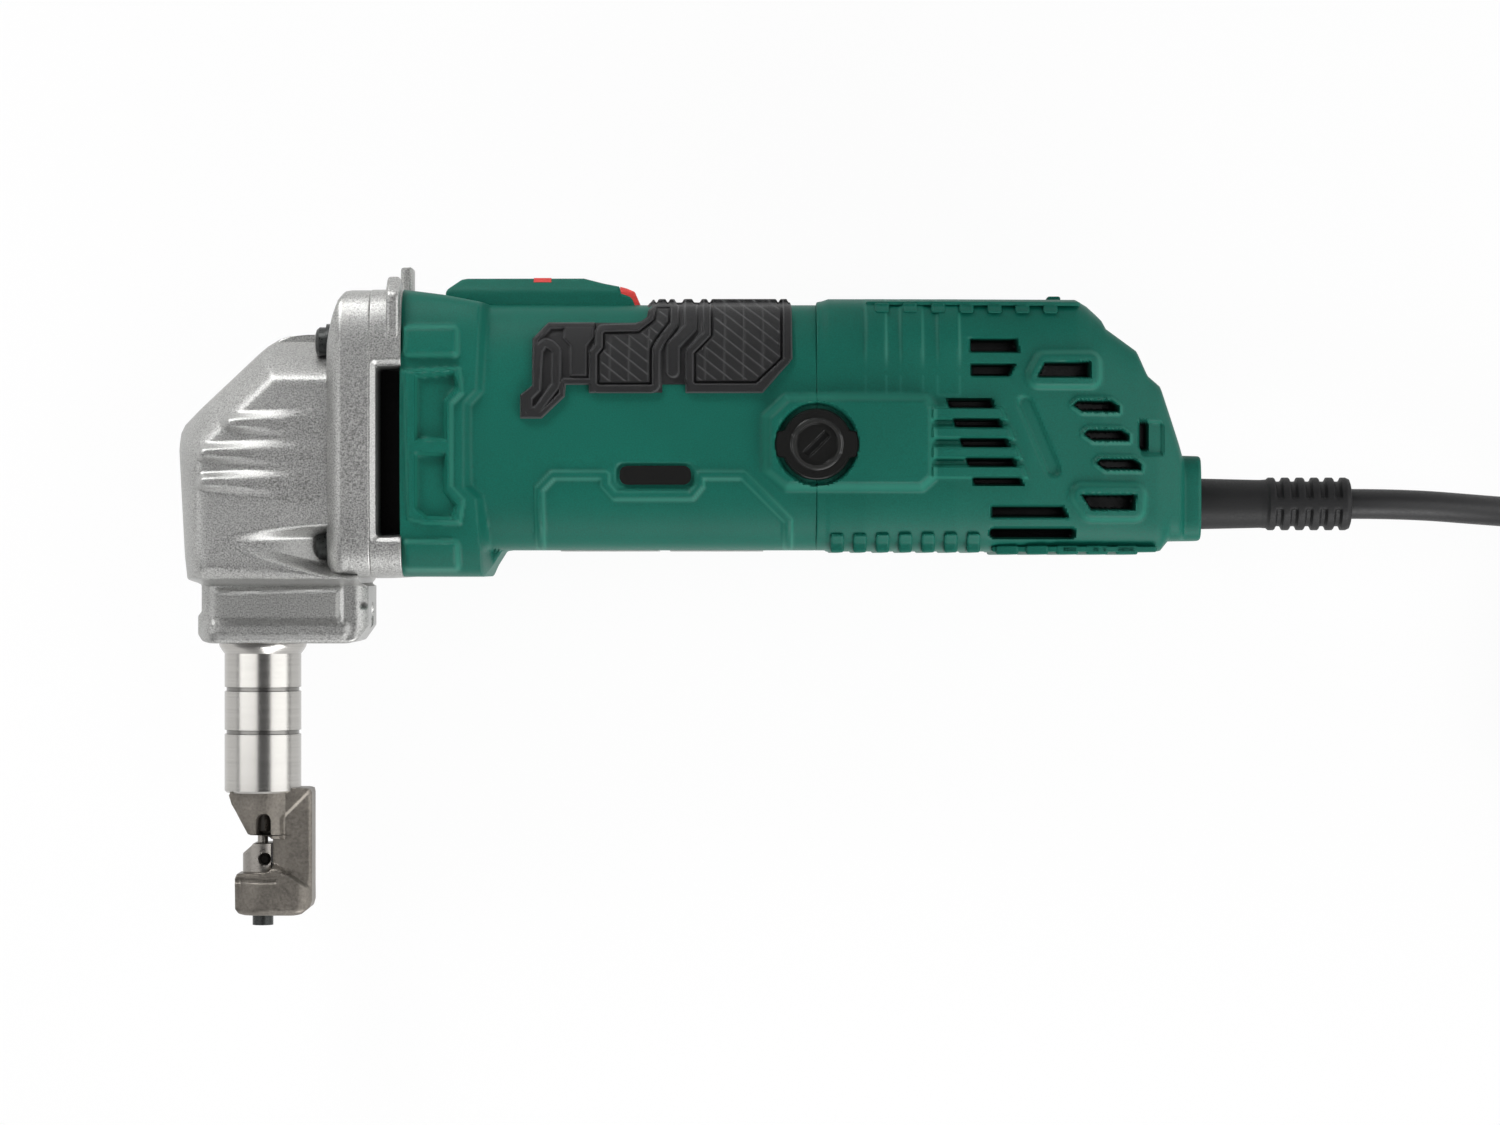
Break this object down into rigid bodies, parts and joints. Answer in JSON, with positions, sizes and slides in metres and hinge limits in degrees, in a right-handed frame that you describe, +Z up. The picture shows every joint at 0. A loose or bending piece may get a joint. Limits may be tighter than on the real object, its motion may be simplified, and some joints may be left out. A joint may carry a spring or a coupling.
{
  "type": "nibbler tool",
  "caption": "Hand-held electric nibbler on its side: cast gear head, steel neck with punch and die, plastic motor body, slide switch, cord with plug.",
  "frame": {"origin": "middle of the tool's footprint on the floor, cord left out, with the tool lying on its right side", "axes": "+X along the motor axis towards the cord, +Y towards the tool's top, so that the punch points to -Y, +Z up towards the tool's left side"},
  "size_m": [0.4671, 0.23, 0.066],
  "materials": {
    "cast_aluminium": "as cast, fine sparkle",
    "green_nylon": "fine textured glass filled nylon",
    "black_rubber": "matt",
    "red_plastic": "satin",
    "black_plastic": "satin",
    "turned_steel": "bright turned",
    "dark_steel": "hardened, oiled",
    "tool_steel": "ground",
    "gear_steel": "machined",
    "bearing_steel": "polished",
    "black_steel": "black oxide",
    "spring_steel": "drawn wire",
    "bronze": "sintered",
    "brass_sheet": "stamped",
    "copper": "enamelled copper",
    "lamination": "stacked sheet",
    "carbon": "pressed carbon",
    "yellow_film": "moulded case",
    "pale_film": "blank film",
    "black_cord": "rubber sheath",
    "black_strap": "woven strap",
    "nickel": "nickel plated"
  },
  "bodies": {
    "housing": {"gear_head_casing": "cast_aluminium", "gear_cover_ring": "cast_aluminium", "gear_plate": "gear_steel", "crank_bearing": "bearing_steel", "crank_bush": "bronze", "layshaft_bushes": "bronze", "armature_bearings": "bearing_steel", "neck_collar": "turned_steel", "neck_lock_screw": "black_steel", "flange_screws": "black_steel", "motor_barrel": "green_nylon", "rubber_grip": "black_rubber", "blank_plate": "black_plastic", "blank_labels": "pale_film", "console_insert": "red_plastic", "field_core": "lamination", "field_coil_top": "copper", "field_coil_base": "copper", "air_baffle": "black_plastic", "carbon_brushes": "carbon", "brush_holders": "brass_sheet", "brush_springs": "spring_steel", "brush_caps": "black_plastic", "rear_shell_left": "green_nylon", "rear_shell_right": "green_nylon", "shell_screws": "black_steel", "switch_body": "black_plastic", "capacitor": "yellow_film", "cord_clamp_base": "black_plastic", "cord_clamp_top": "black_plastic", "clamp_screws": "black_steel", "lead_inside": "black_cord", "cord_boot": "black_rubber", "cord_tube": "black_cord", "cord_coil": "black_cord", "cord_tail": "black_cord", "cord_tie": "black_strap", "plug_body": "black_plastic", "plug_pins": "nickel"},
    "crank": {"crankshaft": "gear_steel", "crank_gear": "gear_steel", "eccentric_bearing": "bearing_steel"},
    "layshaft": {"layshaft": "gear_steel", "layshaft_wheel": "gear_steel"},
    "armature": {"armature_shaft": "gear_steel", "armature_core": "lamination", "armature_windings": "copper", "commutator": "copper", "cooling_fan": "black_plastic"},
    "ram": {"ram": "gear_steel", "punch": "tool_steel", "punch_pin": "gear_steel"},
    "die_carrier": {"neck_tube": "turned_steel", "ram_guide": "bronze", "die_holder": "dark_steel", "die": "tool_steel", "die_screw": "black_steel"},
    "slide_switch": {"switch_button": "red_plastic", "switch_link": "black_plastic"}
  },
  "joints": [
    {"name": "crank_turn", "type": "hinge", "parent": "housing", "child": "crank", "pos_m": [-0.0954, 0.03662, 0.033], "axis": [1, 0, 0], "range_deg": [-90, 90]},
    {"name": "layshaft_turn", "type": "hinge", "parent": "housing", "child": "layshaft", "pos_m": [-0.0874, 0.05063, 0.033], "axis": [1, 0, 0], "range_deg": [-225, 225]},
    {"name": "armature_turn", "type": "hinge", "parent": "housing", "child": "armature", "pos_m": [-0.0174, 0.03662, 0.033], "axis": [1, 0, 0], "range_deg": [-900, 900]},
    {"name": "ram_stroke", "type": "slide", "parent": "housing", "child": "ram", "axis": [0, -1, 0], "range_m": [-0.00276, 0.00276]},
    {"name": "die_swivel", "type": "hinge", "parent": "housing", "child": "die_carrier", "pos_m": [-0.1074, -0.02337, 0.033], "axis": [0, -1, 0], "range_deg": [-180, 180]},
    {"name": "switch_slide", "type": "slide", "parent": "housing", "child": "slide_switch", "axis": [-1, 0, 0], "range_m": [0, 0.006]}
  ],
  "couplings": [
    {"joint": "layshaft_turn", "follows": "crank_turn", "ratio": -2.5},
    {"joint": "armature_turn", "follows": "crank_turn", "ratio": 10},
    {"joint": "ram_stroke", "follows": "crank_turn", "m_per_rad": 0.0017507}
  ]
}
